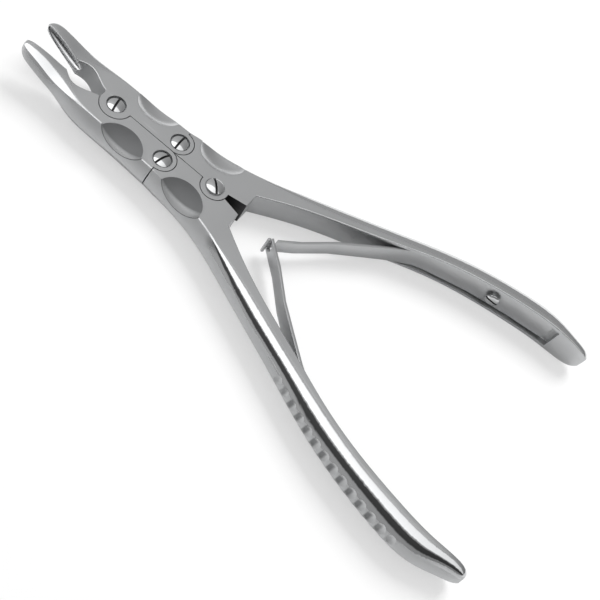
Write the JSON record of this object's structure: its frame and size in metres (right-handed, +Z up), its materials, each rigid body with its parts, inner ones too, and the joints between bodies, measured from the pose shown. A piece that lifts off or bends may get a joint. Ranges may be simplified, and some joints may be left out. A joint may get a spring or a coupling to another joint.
{
  "type": "bone rongeur",
  "caption": "Double-action bone rongeur with spoon-shaped biting jaws, a compound pivot linkage, bowed channelled handles and a pair of interlocked leaf springs.",
  "frame": {"origin": "the middle of the underside of the whole: halfway along and across its outline, level with the lowest line of the grips", "axes": "+X along the closed line from the rear pivot to the jaws, +Z up through the screw heads, +Y towards the handle that carries the lower rear lug"},
  "size_m": [0.1724, 0.092, 0.0125],
  "materials": {
    "satin_steel": "satin-finished stainless steel, polished on the backs of the handles and jaws",
    "screw_steel": "polished stainless steel screws",
    "spring_steel": "brushed stainless spring steel"
  },
  "bodies": {
    "handle_b_body": {"handle_b": "satin_steel", "link_screw_b": "screw_steel", "rear_pivot_screw": "screw_steel", "leaf_spring_b": "spring_steel", "leaf_screw_b": "screw_steel"},
    "handle_a_body": {"handle_a": "satin_steel", "link_screw_a": "screw_steel", "leaf_spring_a": "spring_steel", "leaf_screw_a": "screw_steel"},
    "jaw_b_body": {"jaw_b": "satin_steel", "front_pivot_screw": "screw_steel"},
    "jaw_a_body": {"jaw_a": "satin_steel"}
  },
  "joints": [
    {"name": "handle_squeeze", "type": "hinge", "parent": "handle_b_body", "child": "handle_a_body", "pos_m": [0.02475, 0, 0.0055], "axis": [0, 0, -1], "range_deg": [0, 21.8], "stiffness_Nm_per_rad": 0.6, "springref_deg": -20.05, "deforming": ["leaf_spring_a", "leaf_spring_b"]},
    {"name": "jaw_b_link", "type": "hinge", "parent": "handle_b_body", "child": "jaw_b_body", "pos_m": [0.03975, 0.0039, 0.0055], "axis": [0, 0, -1], "range_deg": [0, 19.5]},
    {"name": "jaw_a_pivot", "type": "hinge", "parent": "jaw_b_body", "child": "jaw_a_body", "pos_m": [0.05875, 0, 0.0055], "axis": [0, 0, 1], "range_deg": [0, 17.2]}
  ],
  "couplings": [
    {"joint": "jaw_b_link", "follows": "handle_squeeze", "ratio": 0.8913},
    {"joint": "jaw_a_pivot", "follows": "handle_squeeze", "ratio": 0.7826}
  ]
}
